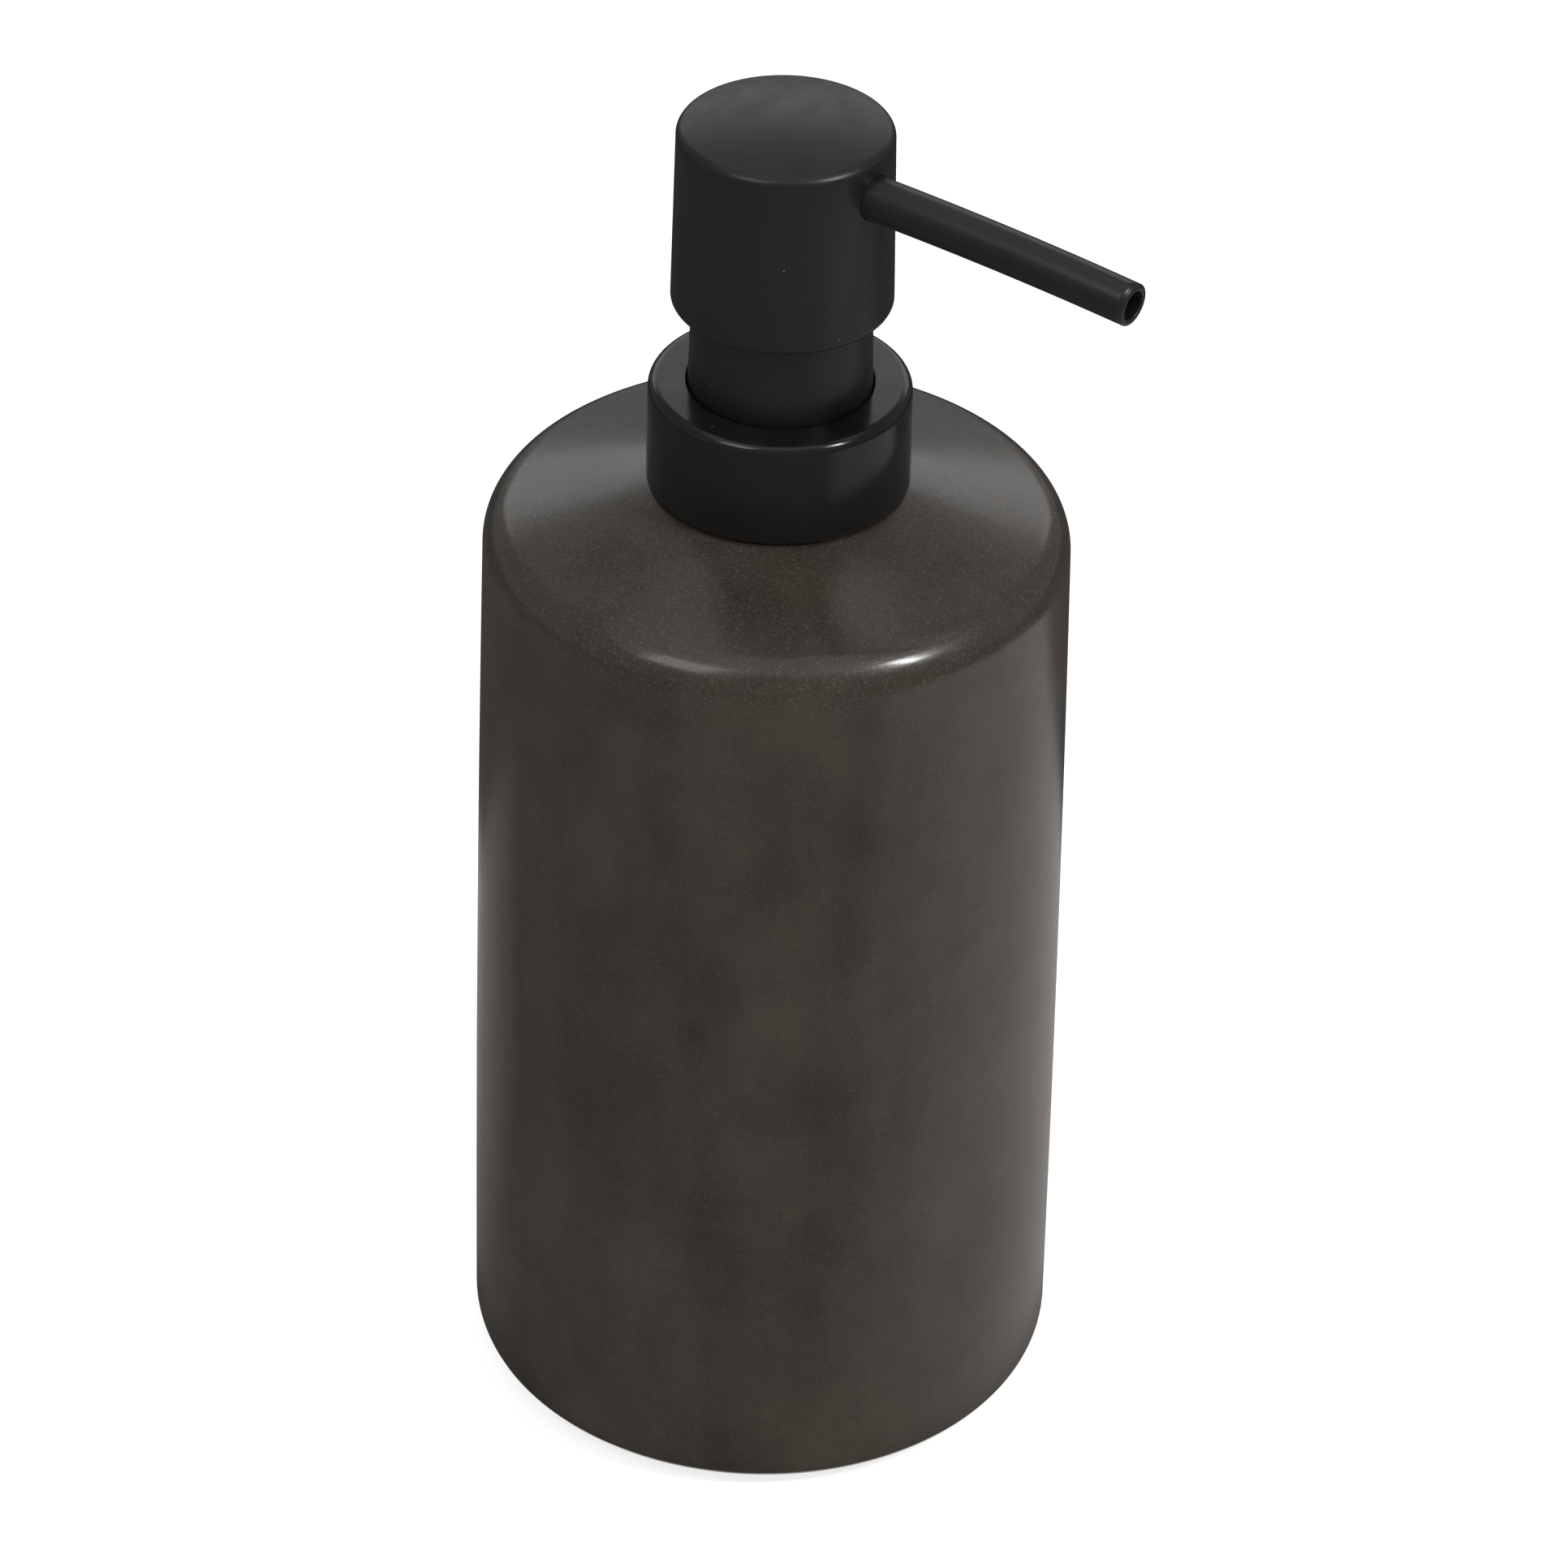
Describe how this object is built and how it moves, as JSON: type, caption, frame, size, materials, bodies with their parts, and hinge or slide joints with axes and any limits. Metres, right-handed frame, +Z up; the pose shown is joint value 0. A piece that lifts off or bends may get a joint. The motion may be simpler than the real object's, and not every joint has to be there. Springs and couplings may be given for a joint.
{
  "type": "soap pump dispenser",
  "caption": "Stoneware liquid-soap bottle with a black threaded pump: press-down head, swivelling side spout, screw closure, sprung piston and dip tube.",
  "frame": {"origin": "centre of the bottle's flat underside, on the surface it stands on", "axes": "+Z up along the bottle and pump, +X from the pump's axis towards the tip of the spout, +Y to the left of the spout seen from behind the bottle"},
  "size_m": [0.087, 0.075, 0.1808],
  "materials": {
    "metallic_glaze": "satin metallic glaze over fired stoneware, dark warm grey, cloudy with fine speckle",
    "adhesive": "cured adhesive",
    "natural_plastic": "uncoloured moulded polypropylene",
    "clear_plastic": "translucent moulded polyethylene",
    "seal_rubber": "soft grey sealing rubber",
    "gloss_black_plastic": "semi-gloss black moulded plastic",
    "satin_black_plastic": "satin black moulded plastic",
    "spring_steel": "drawn stainless steel"
  },
  "bodies": {
    "vessel": {"bottle": "metallic_glaze", "insert_bond": "adhesive", "neck_insert": "natural_plastic", "gasket": "seal_rubber"},
    "engine": {"guide_sleeve": "satin_black_plastic", "retaining_bush": "natural_plastic", "stem_seal": "seal_rubber", "housing": "natural_plastic", "ball_cage": "natural_plastic", "dip_tube": "clear_plastic", "spring": "spring_steel"},
    "closure": {"closure_cap": "gloss_black_plastic", "collar_sleeve": "gloss_black_plastic"},
    "inlet_valve": {"inlet_ball": "spring_steel"},
    "plunger": {"valve_stem": "natural_plastic"},
    "piston_ring": {"piston": "clear_plastic"},
    "pump_head": {"stem": "satin_black_plastic", "actuator_core": "satin_black_plastic", "head_shell": "satin_black_plastic", "spout": "satin_black_plastic"}
  },
  "joints": [
    {"name": "pump_lift", "type": "slide", "parent": "vessel", "child": "engine", "axis": [0, 0, 1], "range_m": [0, 0.00423]},
    {"name": "closure_turn", "type": "hinge", "parent": "engine", "child": "closure", "pos_m": [0, 0, 0.138], "axis": [0, 0, 1], "range_deg": [0, 360]},
    {"name": "inlet_ball_lift", "type": "slide", "parent": "engine", "child": "inlet_valve", "axis": [0, 0, 1], "range_m": [0, 0.0014]},
    {"name": "head_press", "type": "slide", "parent": "engine", "child": "plunger", "axis": [0, 0, -1], "range_m": [0, 0.01], "stiffness_N_per_m": 600, "springref_m": -0.01, "deforming": ["spring"]},
    {"name": "piston_slip", "type": "slide", "parent": "plunger", "child": "piston_ring", "axis": [0, 0, 1], "range_m": [0, 0.0009]},
    {"name": "head_swivel", "type": "hinge", "parent": "plunger", "child": "pump_head", "pos_m": [0, 0, 0.168], "axis": [0, 0, 1], "continuous": true}
  ],
  "couplings": [
    {"joint": "closure_turn", "follows": "pump_lift", "rad_per_m": 1484.2}
  ]
}
